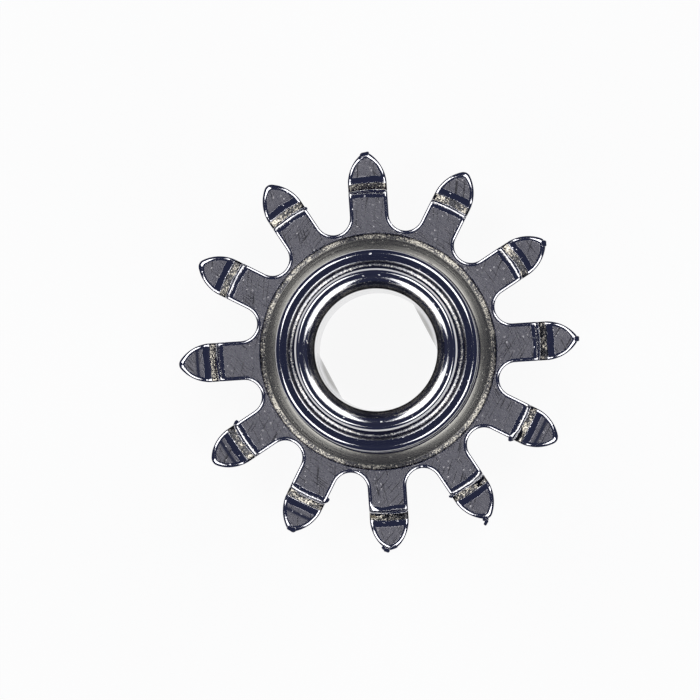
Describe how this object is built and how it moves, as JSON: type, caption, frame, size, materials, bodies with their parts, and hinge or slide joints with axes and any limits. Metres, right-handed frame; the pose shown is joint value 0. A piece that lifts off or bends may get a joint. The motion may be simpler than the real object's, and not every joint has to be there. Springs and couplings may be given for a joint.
{
  "type": "watch pinion",
  "caption": "Watch minute pinion: a hollow steel arbor tube with a ring of leaves at its foot, a turned step across the leaf ends and a narrower minute-hand seat at its head.",
  "frame": {"origin": "centre of the leaves' lower face, on the bore's axis", "axes": "+Z along the bore's axis, from the leaves to the hand seat; a leaf stands 3.75 degrees from +X towards +Y"},
  "size_m": [0.0022, 0.0022, 0.0026],
  "materials": {
    "steel": "fine-ground leaf faces, burnished edges and turned tube"
  },
  "bodies": {
    "root": {"minute_pinion": "steel"}
  },
  "joints": []
}
